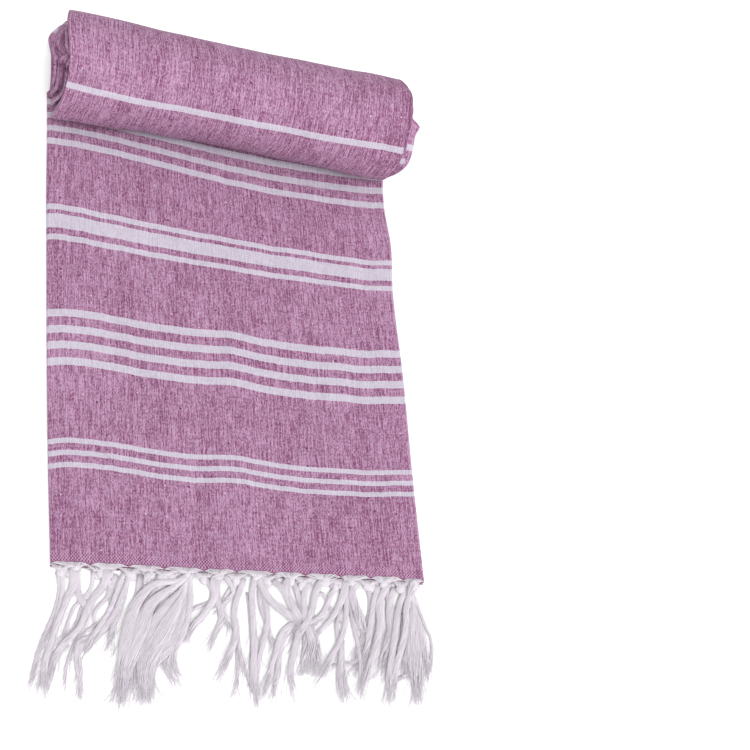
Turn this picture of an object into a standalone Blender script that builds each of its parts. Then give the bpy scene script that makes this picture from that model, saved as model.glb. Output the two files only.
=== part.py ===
# Hammam towel: a flat-woven cotton cloth of 1.0 x 1.8 m with a twisted warp fringe, folded in four
# lengthwise and rolled up, its fringed end laid out on a flat surface. Metres, +Z up. The fringe
# points to -Y and the roll lies across the far end, turned a little from X.
#
# Two bodies: "towel" is the folded package of four layers, laid flat, running under the roll and
# once round it, joined to the wound core. "fringe" is a strip in the same fold, parted from the
# cloth's edge, with a strand for each knotted bunch of warp.

import math

import bpy
import numpy as np

# The folded package. It is 250 mm wide: the metre of cloth, folded in four.
LAYER = 0.0010
LAYER_GAP = 0.0004
LAYERS = 4
LAYER_PITCH = LAYER + LAYER_GAP
PACKAGE = LAYERS * LAYER + (LAYERS - 1) * LAYER_GAP
COLUMNS = 5
BEND_STEPS = 4
OUTER_BEND_STEPS = 6
HEM_INSET = 0.0008

# The flap, from the fringe edge to the line where it goes under the roll.
FLAP_LENGTH = 0.3895
FLAP_STATIONS = 11
FRINGE_SLOPE = 0.136
ROLL_ANGLE = math.radians(18.9)
# Distance from the fringe edge, place of the left fold and of the right edge across the flap.
FLAP_EDGES = np.array([
    (0.0000, -0.1260, 0.1260),
    (0.0810, -0.1255, 0.1230),
    (0.1750, -0.1250, 0.1237),
    (0.2700, -0.1246, 0.1246),
    (0.3620, -0.1232, 0.1285),
    (0.3895, -0.1232, 0.1287),
])
# Soft rises of the upper layers: place across, distance from the fringe edge, half width, half
# length, and the share by which the layers there stand further apart.
SWELLS = np.array([
    (-0.030, 0.190, 0.035, 0.150, 0.28),
    (0.060, 0.110, 0.030, 0.100, 0.20),
    (0.085, 0.300, 0.030, 0.060, 0.30),
    (-0.100, 0.060, 0.022, 0.070, 0.22),
])
SWELL_FADE = 0.04

# The roll. Its outer turn is a spiral that loses one package thickness over the turn.
CORE_RADIUS = 0.0355
TURN_START = -90.0
TURN_END = 256.0
TURN_STEP = 14.5
CORE_BURIED = 0.0005
CORE_SEAM = (244.0, 253.0, 266.0)
CORE_OVER = 0.00015
CORE_SIDES = 24
# Angle in degrees from the far side over the top, place of the outer turn's left and right edge
# along the roll.
TURN_EDGES = np.array([
    (-90.0, -0.1302, 0.1360),
    (-45.0, -0.1350, 0.1340),
    (0.0, -0.1310, 0.1350),
    (40.0, -0.1165, 0.1390),
    (90.0, -0.1030, 0.1510),
    (150.0, -0.0965, 0.1580),
    (190.0, -0.1050, 0.1520),
    (220.0, -0.1120, 0.1470),
    (270.0, -0.1160, 0.1450),
])
# The core's ends are slanted: mean place along the roll, and how far they lean to the front.
CORE_LEFT = (-0.1200, 0.0090)
CORE_RIGHT = (0.1500, 0.0120)
CORE_LEAN_ANGLE = math.radians(150.0)
RIDGE_PITCH = 0.0082
RIDGE_HEIGHT = 0.0013
RIM_POWER = 8
END_DISH = 0.004
END_RINGS = 8

# The fringe.
FRINGE_GAP = 0.0003
STRIP_LENGTH = 0.0040
BUNCHES = 44
STRAND_STEPS = 8
STEP_POWER = 1.2
ROOT_DEPTH = 0.0020
DROP_LENGTH = 0.016
LENGTH_SPREAD = 0.004
# Place of the root across, then of the strand's middle and tip across, and of its tip along Y.
STRAND_LANES = np.array([
    (-0.123, -0.135, -0.144, -0.080),
    (-0.100, -0.115, -0.125, -0.084),
    (-0.088, -0.098, -0.108, -0.088),
    (-0.080, -0.085, -0.090, -0.096),
    (-0.060, -0.067, -0.074, -0.098),
    (-0.040, -0.050, -0.057, -0.094),
    (-0.030, -0.036, -0.040, -0.083),
    (0.000, -0.002, 0.000, -0.092),
    (0.020, 0.017, 0.018, -0.101),
    (0.045, 0.039, 0.044, -0.085),
    (0.065, 0.061, 0.064, -0.101),
    (0.090, 0.090, 0.088, -0.105),
    (0.123, 0.130, 0.122, -0.100),
])
# Share of the strand's length, its width and its height there.
STRAND_FORM = np.array([
    (0.00, 0.0040, 0.0009),
    (0.12, 0.0036, 0.0024),
    (0.30, 0.0030, 0.0026),
    (0.80, 0.0032, 0.0026),
    (1.00, 0.0034, 0.0018),
])
STRAND_CROWN = 0.72

SHARP_ANGLE = math.radians(35)
# The middle of the whole object's footprint, in the frame in which the sizes above are stated.
FOOTPRINT_MIDDLE = (0.0010, 0.1799)


def smooth(table, at, column):
    """A smooth curve through one column of a table whose first column is the place."""
    places, values = table[:, 0], table[:, column]
    slopes = np.gradient(values, places)
    at = np.clip(at, places[0], places[-1])
    row = np.clip(np.searchsorted(places, at, side="right") - 1, 0, len(places) - 2)
    span = places[row + 1] - places[row]
    q = (at - places[row]) / span
    rise = q * q * (3 - 2 * q)
    start = q * (1 - q) ** 2 * span * slopes[row]
    end = -q * q * (1 - q) * span * slopes[row + 1]
    return values[row] * (1 - rise) + values[row + 1] * rise + start + end


def arc(centre, radius, start, end, steps):
    """Points of an arc in the plane of the fold section, its ends left out."""
    angles = np.radians(np.linspace(start, end, steps + 1))[1:-1]
    return [(centre[0] + radius * math.cos(a), centre[1] + radius * math.sin(a)) for a in angles]


def run(start, end, height):
    """Points of one flat layer of the fold section, both ends counted."""
    return [(x, height) for x in np.linspace(start, end, COLUMNS + 1)]


def fold_section(width):
    """The middle line of the cloth across the package: from the hem of the lowest layer round the
    outer left bend to the top layer, back under it, round the inner left bend, and to the other
    hem. Each row holds the place across, from the package's middle, and the height."""
    half = width / 2
    level = [LAYER / 2 + LAYER_PITCH * n for n in range(LAYERS)]
    middle = (level[1] + level[2]) / 2
    inner = LAYER_PITCH / 2
    outer = (level[3] - level[0]) / 2
    left = -half + outer + LAYER / 2
    right = half - inner - LAYER / 2
    hem = half - HEM_INSET
    points = run(hem, left, level[0])
    points += arc((left, middle), outer, -90, -270, OUTER_BEND_STEPS)
    points += run(left, right, level[3])
    points += arc((right, (level[2] + level[3]) / 2), inner, 90, -90, BEND_STEPS)
    points += run(right, left, level[2])
    points += arc((left, middle), inner, 90, 270, BEND_STEPS)
    points += run(left, hem - HEM_INSET, level[1])
    return np.array(points)


def turn_radius(degrees):
    """Radius of the outer turn's outer face, from the roll's axis."""
    return CORE_RADIUS + PACKAGE * (270 - degrees) / 360


def slope_at(along):
    """How far the weft has turned from X at this distance from the fringe edge."""
    return FRINGE_SLOPE + (math.tan(ROLL_ANGLE) - FRINGE_SLOPE) * along / FLAP_LENGTH


def swell(across, along):
    """The share by which the layers stand further apart at this place of the flap."""
    total = np.zeros(np.shape(across))
    for middle_x, middle_s, half_x, half_s, share in SWELLS:
        reach = ((across - middle_x) / half_x) ** 2 + ((along - middle_s) / half_s) ** 2
        total += share * np.exp(-reach)
    return total * np.clip(along / SWELL_FADE, 0, 1) * np.clip((FLAP_LENGTH - along) / SWELL_FADE, 0, 1)


def flap_points(along):
    """The fold section at one distance from the fringe edge."""
    left, right = smooth(FLAP_EDGES, along, 1), smooth(FLAP_EDGES, along, 2)
    section = fold_section(right - left)
    across = section[:, 0] + (left + right) / 2
    lowest = LAYER / 2
    height = lowest + (section[:, 1] - lowest) * (1 + swell(across, along))
    return np.stack([across, along - across * slope_at(along), height], axis=1)


def roll_place(reach, radius, degrees):
    """A point of the roll: its place along the axis, its distance from the axis and its angle."""
    angle = np.radians(degrees)
    out = radius * np.cos(angle)
    up = radius * np.sin(angle)
    x = reach * math.cos(ROLL_ANGLE) + out * math.sin(ROLL_ANGLE)
    y = FLAP_LENGTH - reach * math.sin(ROLL_ANGLE) + out * math.cos(ROLL_ANGLE)
    return np.stack([x, y, CORE_RADIUS + PACKAGE + up], axis=-1)


def turn_points(degrees):
    """The fold section at one angle of the outer turn."""
    left, right = smooth(TURN_EDGES, degrees, 1), smooth(TURN_EDGES, degrees, 2)
    section = fold_section(right - left)
    reach = section[:, 0] + (left + right) / 2
    return roll_place(reach, turn_radius(degrees) - section[:, 1], degrees)


def mesh_object(name, points, faces, material):
    """A mesh object whose points are moved to the middle of the footprint."""
    mesh = bpy.data.meshes.new(name)
    shift = np.array([*FOOTPRINT_MIDDLE, 0.0])
    mesh.from_pydata((np.asarray(points) - shift).tolist(), [], faces)
    mesh.materials.append(material)
    mesh.validate()
    obj = bpy.data.objects.new(name, mesh)
    bpy.context.scene.collection.objects.link(obj)
    mesh.shade_smooth()
    mesh.set_sharp_from_angle(angle=SHARP_ANGLE)
    return obj


def grid_faces(rows, columns):
    """Quads of a grid of points, row after row."""
    return [
        (r * columns + c, (r + 1) * columns + c, (r + 1) * columns + c + 1, r * columns + c + 1)
        for r in range(rows - 1)
        for c in range(columns - 1)
    ]


def cloth(name, stations, material):
    """The middle surface through these fold sections, thickened to one layer."""
    faces = grid_faces(len(stations), len(stations[0]))
    obj = mesh_object(name, np.concatenate(stations), faces, material)
    solidify = obj.modifiers.new("Layer", "SOLIDIFY")
    solidify.thickness = LAYER
    solidify.offset = 0
    solidify.use_even_offset = True
    obj.modifiers.new("Triangles", "TRIANGULATE")
    return obj


def join_to(obj, piece):
    """Unites a helper with the object that it belongs to."""
    piece.hide_render = True
    piece.display_type = "WIRE"
    piece.modifiers.new("Triangles", "TRIANGULATE")
    union = obj.modifiers.new("Union " + piece.name, "BOOLEAN")
    union.operation = "UNION"
    union.object = piece


def core_radius(degrees):
    """The core's outline: half a layer deep in the innermost layer of the outer turn, then out past
    the end of that turn, so that the turn ends inside it."""
    inside = turn_radius(degrees) - PACKAGE + CORE_BURIED
    outside = turn_radius(degrees) + CORE_OVER
    start, end = CORE_SEAM[:2]
    if degrees <= start:
        return inside
    if degrees <= end:
        return inside + (outside - inside) * (degrees - start) / (end - start)
    floor = CORE_RADIUS + CORE_BURIED
    return outside + (floor - outside) * max(0.0, (degrees - end) / (270 - end))


def core_end(place, lean, out, degrees, radius, edge):
    """A wound end: slanted to the front, a little dished, and ridged along a spiral."""
    share = radius / edge
    slant = place + lean * share * math.cos(math.radians(degrees) - CORE_LEAN_ANGLE)
    phase = 2 * math.pi * (radius / RIDGE_PITCH + (degrees + 90) / 360)
    ridge = RIDGE_HEIGHT * math.cos(phase) * (1 - share**RIM_POWER)
    return slant + out * (ridge - END_DISH * (1 - share**2))


def wound_core(material):
    """The roll inside its outer turn, one closed form between two wound ends."""
    angles = [*np.linspace(TURN_START, CORE_SEAM[0], CORE_SIDES), *CORE_SEAM[1:]]
    points = []
    for (place, lean), out in ((CORE_LEFT, -1), (CORE_RIGHT, 1)):
        for ring in range(END_RINGS, 0, -1):
            for degrees in angles:
                edge = core_radius(degrees)
                radius = edge * ring / END_RINGS
                reach = core_end(place, lean, out, degrees, radius, edge)
                points.append(roll_place(reach, radius, degrees))
        points.append(roll_place(place - out * END_DISH, 0.0, 0.0))
    count = len(angles)
    end_size = END_RINGS * count + 1
    faces = []
    for c in range(count):
        d = (c + 1) % count
        faces.append((c, d, end_size + d, end_size + c))
        for ring in range(END_RINGS - 1):
            a, b = ring * count, (ring + 1) * count
            faces.append((a + c, b + c, b + d, a + d))
            faces.append((end_size + a + d, end_size + b + d, end_size + b + c, end_size + a + c))
        last = (END_RINGS - 1) * count
        faces.append((last + c, end_size - 1, last + d))
        faces.append((end_size + last + d, 2 * end_size - 1, end_size + last + c))
    return mesh_object("Core", points, faces, material)


def make_towel(material):
    """The folded package from the fringe edge to the end of the outer turn, and the wound core."""
    flap = [flap_points(s) for s in np.linspace(0, FLAP_LENGTH, FLAP_STATIONS)]
    steps = round((TURN_END - TURN_START) / TURN_STEP)
    turn = [turn_points(d) for d in np.linspace(TURN_START, TURN_END, steps + 1)[1:]]
    towel = cloth("towel", flap + turn, material)
    join_to(towel, wound_core(material))


def strand_points(lane, root_x, length_change):
    """One strand: from its layer of the strip down to the surface, then flat on it to the tip."""
    roots = STRAND_LANES[:, 0]
    mid_x, tip_x, tip_y = (np.interp(root_x, roots, STRAND_LANES[:, c]) for c in (1, 2, 3))
    root_y = -FRINGE_GAP - ROOT_DEPTH - root_x * FRINGE_SLOPE
    layer = lane % LAYERS
    root_low = layer * LAYER_PITCH + (LAYER - STRAND_FORM[0, 2]) / 2
    q = np.linspace(0, 1, STRAND_STEPS) ** STEP_POWER
    # A parabola through the root, the middle and the tip.
    x = 2 * (q - 0.5) * (q - 1) * root_x + 4 * q * (1 - q) * mid_x + 2 * q * (q - 0.5) * tip_x
    y = root_y + q * (tip_y + length_change - root_y)
    drop = np.clip((root_y - y) / DROP_LENGTH, 0, 1)
    low = root_low * (1 - drop * drop * (3 - 2 * drop))
    width, height = smooth(STRAND_FORM, q, 1), smooth(STRAND_FORM, q, 2)
    run_x, run_y = np.gradient(x), np.gradient(y)
    run_length = np.hypot(run_x, run_y)
    side_x, side_y = -run_y / run_length, run_x / run_length
    corners = []
    for side, top in ((-1, 0), (1, 0), (STRAND_CROWN, 1), (-STRAND_CROWN, 1)):
        reach = side * width / 2
        corners.append(np.stack([x + side_x * reach, y + side_y * reach, low + top * height], axis=1))
    return np.stack(corners, axis=1).reshape(-1, 3)


def make_strands(material):
    """All the strands as separate closed tubes of four sides, in lanes that don't cross."""
    chance = np.random.default_rng(7)
    points, faces = [], []
    for lane in range(BUNCHES):
        root_x = FLAP_EDGES[0, 1] + (FLAP_EDGES[0, 2] - FLAP_EDGES[0, 1]) * (lane + 0.5) / BUNCHES
        base = len(points)
        points.extend(strand_points(lane, root_x, chance.uniform(-LENGTH_SPREAD, LENGTH_SPREAD)))
        for step in range(STRAND_STEPS - 1):
            a, b = base + 4 * step, base + 4 * (step + 1)
            faces += [(a + n, a + (n + 1) % 4, b + (n + 1) % 4, b + n) for n in range(4)]
        last = base + 4 * (STRAND_STEPS - 1)
        faces += [(base + 3, base + 2, base + 1, base), (last, last + 1, last + 2, last + 3)]
    return mesh_object("Strands", points, faces, material)


def make_fringe(material):
    """The strip past the last pick, in the fold of the cloth, with its strands."""
    strip = [flap_points(-FRINGE_GAP - STRIP_LENGTH), flap_points(-FRINGE_GAP)]
    fringe = cloth("fringe", strip, material)
    join_to(fringe, make_strands(material))


def cotton(name, colour, roughness):
    material = bpy.data.materials.new(name)
    material.use_nodes = True
    shader = material.node_tree.nodes["Principled BSDF"]
    shader.inputs["Base Color"].default_value = (*colour, 1)
    shader.inputs["Roughness"].default_value = roughness
    shader.inputs["Metallic"].default_value = 0
    return material


for startup_object in list(bpy.data.objects):
    bpy.data.objects.remove(startup_object)

make_towel(cotton("Woven cotton, mauve", (0.41, 0.22, 0.36), 0.95))
make_fringe(cotton("Cotton yarn, white", (0.80, 0.77, 0.80), 0.95))
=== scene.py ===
# Hammam towel: flat-woven cotton, 1.0 x 1.8 m, with a knotted warp fringe. It is folded in four
# lengthwise and rolled up, and its fringed end is laid out on a pale table. Metres, +Z up.
import math

import bpy
import numpy as np
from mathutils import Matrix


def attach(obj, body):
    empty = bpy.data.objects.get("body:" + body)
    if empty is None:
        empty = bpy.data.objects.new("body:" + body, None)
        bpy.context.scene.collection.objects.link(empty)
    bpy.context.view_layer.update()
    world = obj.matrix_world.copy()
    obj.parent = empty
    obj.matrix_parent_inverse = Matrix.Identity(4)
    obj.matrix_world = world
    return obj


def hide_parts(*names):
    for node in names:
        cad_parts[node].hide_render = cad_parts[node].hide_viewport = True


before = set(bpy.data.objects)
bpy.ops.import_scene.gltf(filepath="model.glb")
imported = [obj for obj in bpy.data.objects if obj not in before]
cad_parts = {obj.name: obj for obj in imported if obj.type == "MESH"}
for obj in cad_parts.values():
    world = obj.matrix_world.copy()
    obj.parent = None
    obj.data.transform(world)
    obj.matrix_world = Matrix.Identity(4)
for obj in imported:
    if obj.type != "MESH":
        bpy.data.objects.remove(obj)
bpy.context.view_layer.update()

view = {
    "place": (0.0198, -1.0949, 1.6099),
    "pitchDown": 56.326,  # degrees below level
    "turn": 4.581,  # degrees towards +X
    "lens": 130.41,  # mm
    "sensor": 36,  # mm
    "farthest": 20,
}


def addObject(name, data):
    item = bpy.data.objects.new(name, data)
    bpy.context.scene.collection.objects.link(item)
    return item


def makeCamera():
    lensData = bpy.data.cameras.new("View")
    lensData.lens = view["lens"]
    lensData.sensor_width = view["sensor"]
    lensData.clip_end = view["farthest"]
    camera = addObject("View", lensData)
    camera.location = view["place"]
    camera.rotation_euler = (math.radians(90 - view["pitchDown"]), 0, math.radians(-view["turn"]))
    bpy.context.scene.camera = camera


makeCamera()
print("camera: done")

# The cloth's own frame has its origin in the middle of the fringe edge, on the table, X across the
# flap and Y towards the roll. "middle" is the footprint's middle there, the origin of the part.
cloth = {
    "flat": (1.0, 1.8),
    "middle": (0.0010, 0.1799),
    "flapLength": 0.3895,
    "rollTurn": 18.9,  # degrees from X
    "coreRadius": 0.03635,
    "pitchOnFlap": 0.00105,  # one layer to the next
    "pitchInRoll": 0.00077,
    "easeLength": 0.12,  # before the roll, where the layers close up
    "edgeRows": (0, 0.0004, 0.0008, 0.0014, 0.0022, 0.0034),
    "flapRows": 72,
    "outerStep": 4.0,  # degrees between rows on the outer turn
    "shownStep": 6.0,  # where the next three turns show at the left end
    "hollowStep": 2.0,  # near a hollow between the coils
    "hiddenStep": 24.0,
    "leastStep": 1.0,
    "shownTurns": (1, 2, 3),
    "shownPart": (90, 306),  # degrees round those turns
    "hollowReach": 8,  # degrees to each side of a hollow
    "columns": (70, 8, 96, 6, 16, 6, 14),
    # how much the columns crowd towards a left fold at a stretch's start, or below 0 at its end
    "crowding": (-1.4, 1, 1.2, 1, -2.2, 1, 2.2),
    # in pitches: radii of the outer left fold and of the others, middle of the inner left fold
    "folds": (1.5, 0.5, 2.4),
    # how far the two inmost layers lag behind the outmost on the roll, and how far the next one
    "backSlip": (-0.0030, 0.0090),
    "hiddenDepth": 0.0004,
    "coilSink": 0.0035,  # of each turn that shows
    # the lip at each turn's left fold and the dip behind it: distance from it, half width, height
    "coilLips": ((0.0018, 0.0016, 0.0018), (0.0062, 0.0024, -0.0040)),
    "leastRadius": 0.3,  # of a turn's radius before it sinks
    # soft waves: height, seed of the chance, size across, size along (degrees on the roll)
    "flapWaves": (0.00035, 3, 0.05, 0.16),
    "rollWaves": (0.0003, 5, 0.05, 120),
    "flapLoft": 0.0008,
    # fringe edges of the layers: their reach past the top one's, height and pace (radians a metre)
    # of a sine, half width and length of the dip where two bunches part
    "edgeReach": (0.0012, 0.0022, 0.0020, 0.0),
    "edgeWaver": (0.0012, 55),
    "edgeDip": (0.0024, 0.0017),
}
# where a shape comes in, or goes out: from the first place to the second
fades = {
    # metres from the fringe edge
    "bowIn": (0, 0.05),
    "bowToMiddle": (0.195, 0.265),
    "bowToRoll": (0.27, 0.345),
    "bowOut": (0.355, 0.3895),
    "edgeReachOut": (0, 0.06),
    "edgeDipOut": (0, 0.0034),
    "flapLift": (0.002, 0.06),  # metres before the roll
    "backSlip": (-0.02, 0.1),  # metres past the contact line
    "coilSink": (0.090, 0.098),  # metres left of the roll's middle
    # degrees round the roll
    "creasesIn": (20, 60),
    "creasesOut": (300, 345),
    "coils": (30, 110),  # of each turn
    "coilLips": (430, 470),
    "sag": (110, 190),
}
# distance from the fringe edge (mm), how far the weft leans there
weftLean = np.array([
    (0, 0.136), (70, 0.202), (150, 0.242), (200, 0.257), (250, 0.286), (290, 0.320), (340, 0.368),
    (390, 0.342),
])
# place across (mm), how far the weft bows there (mm): by the fringe, at the middle, by the roll
weftBow = np.array([
    (-130, -3.5, -2.5, -3), (-118, -0.5, 1, -0.5), (-104, 1, 1.5, 1), (-80, 1, 1, 1.5),
    (-45, -1.5, -1, 0), (-15, -0.5, -1, -1.5), (0, 1, -1, -2.2), (25, -0.5, -1, -2.6),
    (50, -1, -0.5, -2), (80, 0, 0.5, 0.5), (100, 1.5, 2, 3), (115, 4, 3.5, 5.5),
    (130, 7, 6, 8.5),
])
# place along the roll (mm), how far the weft sags there (mm)
rollSag = np.array([
    (-108, 0), (-80, 1.5), (-47, 2.6), (0, 2.1), (35, 1.8), (102, 1.7), (135, 0.4), (152, 0),
])
# distance from the fringe edge (mm), the left fold, the right fold, and the hems of the lowest
# layer and of the one above it
flapEdges = np.array([
    (0, -126, 126, 125, 123.5), (83, -126.5, 125.5, 124, 124.5),
    (175, -126, 126, 124.5, 124), (255, -125, 125, 124.5, 124),
    (298, -124.5, 127, 125, 125.5), (340, -123.5, 125, 124, 124.5),
    (390, -123, 128, 126, 125.5),
])
# degrees round the roll from the contact line, up the far side, over the top and down the front,
# then on into the deeper turns; places along the roll (mm) of the left fold, the right fold, the
# outmost layer's hem and the next layer's
rollEdges = np.array([
    (0, -128, 135.5, 133.5, 133), (45, -134, 134.5, 133, 132), (71, -136.5, 135, 133, 132.5),
    (82, -131, 135.5, 133.5, 133), (95, -122.5, 136.5, 134.5, 134), (110, -118, 138, 136, 136),
    (120, -117, 139.5, 137.5, 137), (134, -115.5, 142.5, 141, 141), (150, -112.5, 148.5, 147, 147),
    (158, -111, 152.5, 150.5, 151), (168, -108.5, 155.5, 153.5, 154), (179, -105.5, 157.5, 155.5, 156),
    (190, -102.5, 159.5, 157, 158), (201, -100.5, 161.5, 158, 159), (205, -99.5, 165.5, 158.5, 159.5),
    (209, -99, 167, 158.5, 160), (213, -98.5, 166, 158.5, 160), (219, -98.5, 165, 158.5, 160),
    (231, -98, 165, 158.5, 160), (241, -99, 164.5, 158, 160), (256, -101, 162.5, 156, 160),
    (277, -107, 155, 150, 152.5), (292, -110.5, 148, 144.5, 146), (307, -114.5, 141.5, 139, 140),
    (360, -116.5, 139, 136.5, 137),
    # the second turn
    (430, -133, 142, 139, 140), (442, -129, 142, 139, 140), (455, -126, 142, 139, 140),
    (470, -122, 142, 139, 140), (480, -119.5, 142, 139, 140), (494, -115.5, 142, 139, 140),
    (512, -113, 143, 140, 141), (538, -109, 145, 142, 143),
    (550, -107, 147, 144, 145), (556, -105.5, 148, 145, 146), (561, -102, 150, 147, 148),
    (566, -100.5, 150, 147, 148), (573, -102.5, 149, 146, 147), (580, -103.5, 148, 145, 146),
    (600, -102, 148, 145, 146), (612, -103, 147, 144, 145), (628, -106.5, 145, 142, 143),
    (645, -113, 144, 141, 142), (667, -115.5, 142, 139, 140), (720, -114, 139, 136, 137),
    # the third
    (887, -116, 139, 136, 137), (899, -116, 140, 137, 138), (909, -113, 141, 138, 139),
    (914, -107, 145, 142, 143), (925, -109.5, 144, 141, 142), (938, -111.5, 143, 140, 141),
    (953, -110.5, 142, 139, 140), (985, -112, 142, 139, 140), (1018, -118, 139, 136, 137),
    # the fourth, and the rest
    (1080, -118, 136, 133, 134), (1240, -119, 138, 135, 136), (1265, -120, 140, 137, 138),
    (1275, -117.5, 140, 137, 138), (1292, -116, 140, 137, 138), (1316, -115, 140, 137, 138),
    (1355, -116.5, 139, 136, 137), (1560, -116, 137, 134, 135), (1900, -112, 141, 138, 139),
    (2300, -115, 138, 135, 136), (2800, -111, 142, 139, 140), (3600, -114, 139, 136, 137),
])
# hollows between the coils at the left end: place along the roll (mm), degrees round it, half width
# (mm), half reach in degrees, depth (mm)
coilHollows = np.array([
    (-101, 584, 2.6, 5, 16), (-107, 941, 4, 5, 17), (-108, 911, 6, 3, 12), (-99.5, 545, 1.6, 16, 8),
    (-99.5, 612, 1.5, 18, 7), (-105, 970, 1.6, 24, 6),
]) * (0.001, 1, 0.001, 1, 0.001)
# soft ridges (+) and troughs (-) of the flap (mm): place across, distance from the fringe edge, how
# far it leans sideways over its length, half width, half length, height
flapCreases = np.array([
    (-112, 110, 4, 9, 110, 0.7), (-84, 250, -6, 11, 70, -0.6), (-52, 120, 10, 10, 90, 0.9),
    (-40, 300, 4, 13, 60, 0.8), (-22, 60, -6, 7, 60, -0.6), (4, 100, 2, 9, 85, 1.2),
    (12, 190, 6, 12, 50, 0.9), (34, 260, 10, 14, 70, -0.8), (50, 90, -6, 10, 70, -0.6),
    (66, 320, 8, 12, 50, 1.0), (82, 170, 8, 11, 80, 0.7), (104, 60, 4, 9, 60, 1.0),
    (108, 280, 10, 7, 50, -0.7), (114, 200, 4, 6, 60, 0.6),
]) / 1000
# the same of the roll: place along it, degrees round it, lean, half width, half reach in degrees,
# height
rollCreases = np.array([
    (-80, 200, 10, 6, 60, 0.6), (-61, 230, -6, 7, 50, -0.5), (-38, 190, 14, 8, 60, 0.5),
    (-10, 240, 6, 10, 60, -0.6), (16, 200, 10, 7, 50, 0.6), (48, 220, -8, 9, 60, 0.6),
    (74, 190, 12, 6, 50, -0.6), (94, 200, 20, 6, 50, 1.0), (112, 185, 20, 5, 45, -0.9),
    (124, 205, 12, 5, 45, 0.8), (140, 230, 6, 5, 45, -0.7), (60, 285, 4, 20, 30, 0.9),
    (-40, 290, 4, 30, 30, 0.7),
    # the roll is fuller at the back of its left end, and its outmost turn stands off the next
    (-110, 132, 0, 75, 45, 3.8), (-101, 185, 0, 8, 16, 1.2),
    # and its front hangs loose over the flap there, and a little at the right end
    (-112, 298, 20, 60, 30, 4.6), (128, 288, 0, 34, 26, 2.4),
]) * (0.001, 1, 0.001, 0.001, 1, 0.001)
# where the bunches of the top layer's fringe part (mm across), and where each one's knot is
bunchParts = np.array([-126, -99, -73, -49, -22, 0, 25, 46, 70, 90, 112, 126]) / 1000
bunchKnots = np.array([-109, -87, -60, -33, -12, 14, 36, 59, 76, 99, 118]) / 1000


def smoothCurve(table, at, column):
    # cubic through the table's rows, with the slope at each row taken from its neighbours
    places, values = table[:, 0], table[:, column]
    slopes = np.gradient(values, places)
    at = np.clip(at, places[0], places[-1])
    row = np.clip(np.searchsorted(places, at, side="right") - 1, 0, len(places) - 2)
    span = places[row + 1] - places[row]
    q = (at - places[row]) / span
    rise = q * q * (3 - 2 * q)
    start = q * (1 - q) ** 2 * span * slopes[row]
    end = -q * q * (1 - q) * span * slopes[row + 1]
    return values[row] * (1 - rise) + values[row + 1] * rise + start + end


def easeIn(value, low, high):
    # 0 below low, 1 above high, and a soft step between
    q = np.clip((value - low) / (high - low), 0, 1)
    return q * q * (3 - 2 * q)


def fade(value, name):
    # 0 before the named fade and 1 past it
    return easeIn(value, *fades[name])


def creaseHeight(creases, across, along):
    # sum of bells: height times exp(-(across/width)^2) times exp(-(along/length)^2), sliding
    # sideways by the lean
    total = np.zeros(np.broadcast(across, along).shape)
    for place, middle, lean, halfWidth, halfLength, height in creases:
        run = (along - middle) / halfLength
        total += height * np.exp(-(((across - place - lean * run) / halfWidth) ** 2) - run**2)
    return total


def softWaves(across, along, waves, count=14):
    # height times a sum of sines in mixed directions, their sizes near the two given
    height, seed, acrossSize, alongSize = waves
    chance = np.random.default_rng(seed)
    total = np.zeros(np.broadcast(across, along).shape)
    for _ in range(count):
        a = chance.normal(0, 1) * 2 * math.pi / acrossSize
        b = chance.normal(0, 1) * 2 * math.pi / alongSize
        total += np.sin(a * across + b * along + chance.uniform(0, 2 * math.pi))
    return height * (total / math.sqrt(count))


def foldColumns():
    # the fold section as seven stretches, runs and bends by turns, from the lower hem to the upper.
    # Each column holds its shares of (lower hem, left, right, upper hem, pitch), its layer, from 0,
    # lowest, to 3, top, and how far it lags behind on the roll
    hemLow, left, right, hemUp, pitch = np.eye(5)
    outer, inner, place = cloth["folds"]
    flat = (0, 0)
    # start, end, middle and radius of the bend in pitches, its angles, layer at its middle
    stretches = (
        (hemLow, left + outer * pitch, 0, 0, flat, 0),
        (left, left, outer, outer, (-90, -270), 1.5),
        (left + outer * pitch, right - inner * pitch, 0, 0, flat, 3),
        (right, right, -inner, inner, (90, -90), 2.5),
        (right - inner * pitch, left + place * pitch, 0, 0, flat, 2),
        (left, left, place, inner, (90, 270), 1.5),
        (left + place * pitch, hemUp, 0, 0, flat, 1),
    )
    inmost, between = cloth["backSlip"]
    lags = (0, 0, inmost, inmost, inmost, between, between)
    shares, layers, slips, lagBefore = [], [], [], 0
    for number, (start, end, middle, radius, angles, layer) in enumerate(stretches):
        count, power, lag = cloth["columns"][number], cloth["crowding"][number], lags[number]
        # a stretch leaves its last column to the next one
        q = np.linspace(0, 1, count + 1)[: count + (number == len(stretches) - 1)]
        q = q**power if power > 0 else 1 - (1 - q) ** -power
        turn = np.radians(angles[0] + (angles[1] - angles[0]) * q)
        share = np.outer(1 - q, start) + np.outer(q, end)
        share[:, 4] += middle + radius * np.cos(turn)
        shares.append(share)
        layers.append(layer + radius * np.sin(turn))
        # the lag changes along the stretch
        slips.append(lagBefore + (lag - lagBefore) * q)
        lagBefore = lag
    return np.concatenate(shares), np.concatenate(layers), np.concatenate(slips)


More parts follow.
